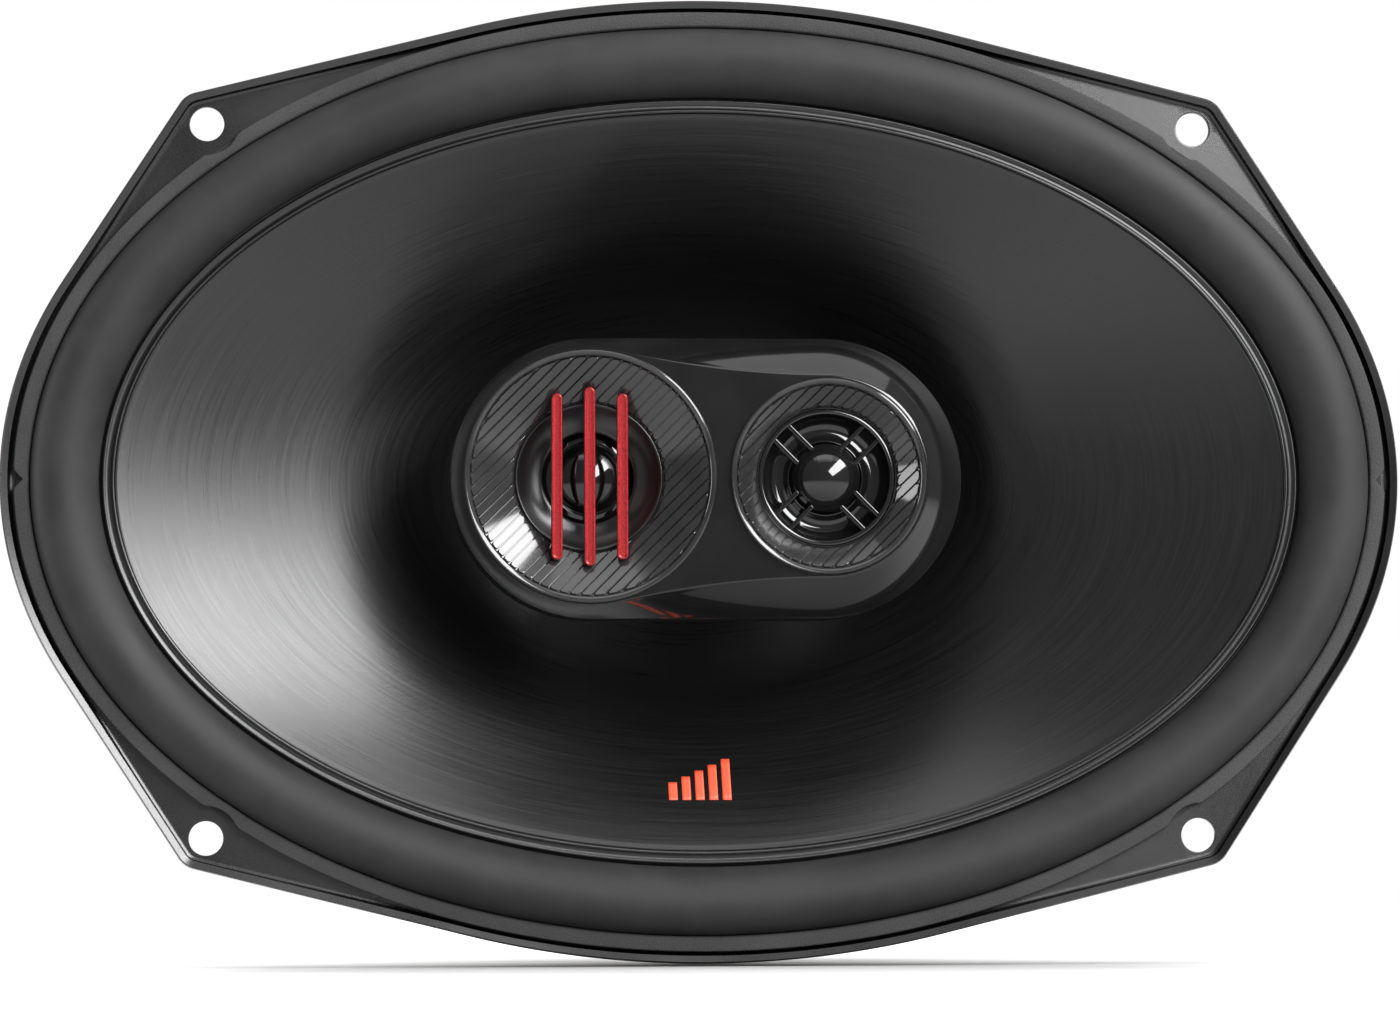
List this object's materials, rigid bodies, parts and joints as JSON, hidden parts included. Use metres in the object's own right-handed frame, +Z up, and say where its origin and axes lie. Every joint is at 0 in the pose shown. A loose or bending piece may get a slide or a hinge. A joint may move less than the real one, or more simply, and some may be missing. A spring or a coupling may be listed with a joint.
{
  "type": "coaxial car speaker",
  "caption": "Oval coaxial car speaker with a stamped basket, ferrite motor, moving cone and a bridge holding two small drivers on a centre post.",
  "frame": {"origin": "centre of the four bolt holes, on the rear face of the mounting flange", "axes": "+X to the right seen from the front, +Z up, -Y towards the listener, +Y towards the magnet"},
  "size_m": [0.2372, 0.0987, 0.1632],
  "materials": {
    "painted_steel": "satin black paint with a fine grain",
    "gasket_board": "matte pressed board",
    "plated_steel": "zinc plated",
    "ferrite": "ground, dull",
    "cone_plastic": "glossy, with fine turned lines",
    "rubber": "matte",
    "spider_cloth": "resin dipped weave",
    "former_paper": "heat resistant paper",
    "copper_wire": "enamelled copper wire",
    "felt": "black felt",
    "terminal_board": "phenolic board",
    "tinned_brass": "tinned",
    "tinsel_braid": "woven copper tinsel",
    "lead_red": "PVC sleeve",
    "lead_black": "PVC sleeve",
    "bridge_gloss": "high gloss black",
    "bridge_satin": "satin black",
    "bezel_chrome": "dark, glossy, ribbed",
    "guard_red": "deep metallic red",
    "dome_film": "glossy film",
    "neodymium": "nickel plated",
    "capacitor_sleeve": "shrink sleeve"
  },
  "bodies": {
    "frame": {"basket": "painted_steel", "front_gasket": "gasket_board", "top_plate": "plated_steel", "plate_rivets": "plated_steel", "magnet": "ferrite", "back_plate": "plated_steel", "pole": "plated_steel", "surround": "rubber", "spider": "spider_cloth", "terminal_board": "terminal_board", "terminal_positive": "tinned_brass", "terminal_negative": "tinned_brass", "terminal_rivets": "tinned_brass", "tinsel_lead_positive": "tinsel_braid", "tinsel_lead_negative": "tinsel_braid", "feed_lead_positive": "lead_red", "feed_lead_negative": "lead_black", "bridge_post": "plated_steel", "post_sleeve": "bridge_satin", "post_washer": "plated_steel", "post_nut": "plated_steel", "bridge_housing": "bridge_satin", "bridge_fascia": "bridge_gloss", "bridge_screws": "plated_steel", "tweeter_capacitor": "capacitor_sleeve", "supertweeter_capacitor": "capacitor_sleeve", "tweeter_cup": "plated_steel", "tweeter_magnet": "neodymium", "tweeter_pole_plate": "plated_steel", "tweeter_horn": "bridge_satin", "tweeter_bezel": "bezel_chrome", "tweeter_guard": "guard_red", "supertweeter_cup": "plated_steel", "supertweeter_magnet": "neodymium", "supertweeter_pole_plate": "plated_steel", "supertweeter_bezel": "bezel_chrome", "supertweeter_guard": "bridge_gloss"},
    "cone_assembly": {"cone": "cone_plastic", "coil_former": "former_paper", "voice_coil": "copper_wire", "dust_ring": "felt", "lead_eyelets": "tinned_brass"},
    "tweeter_dome": {"tweeter_diaphragm": "dome_film", "tweeter_coil": "copper_wire"},
    "supertweeter_dome": {"supertweeter_diaphragm": "dome_film", "supertweeter_coil": "copper_wire"}
  },
  "joints": [
    {"name": "cone_excursion", "type": "slide", "parent": "frame", "child": "cone_assembly", "axis": [0, -1, 0], "range_m": [-0.005, 0.005], "stiffness_N_per_m": 3000, "deforming": ["surround", "spider", "tinsel_lead_positive", "tinsel_lead_negative"]},
    {"name": "tweeter_excursion", "type": "slide", "parent": "frame", "child": "tweeter_dome", "axis": [0, -1, 0], "range_m": [-0.0003, 0.0003], "stiffness_N_per_m": 10},
    {"name": "supertweeter_excursion", "type": "slide", "parent": "frame", "child": "supertweeter_dome", "axis": [0, -1, 0], "range_m": [-0.0002, 0.0002], "stiffness_N_per_m": 10}
  ]
}
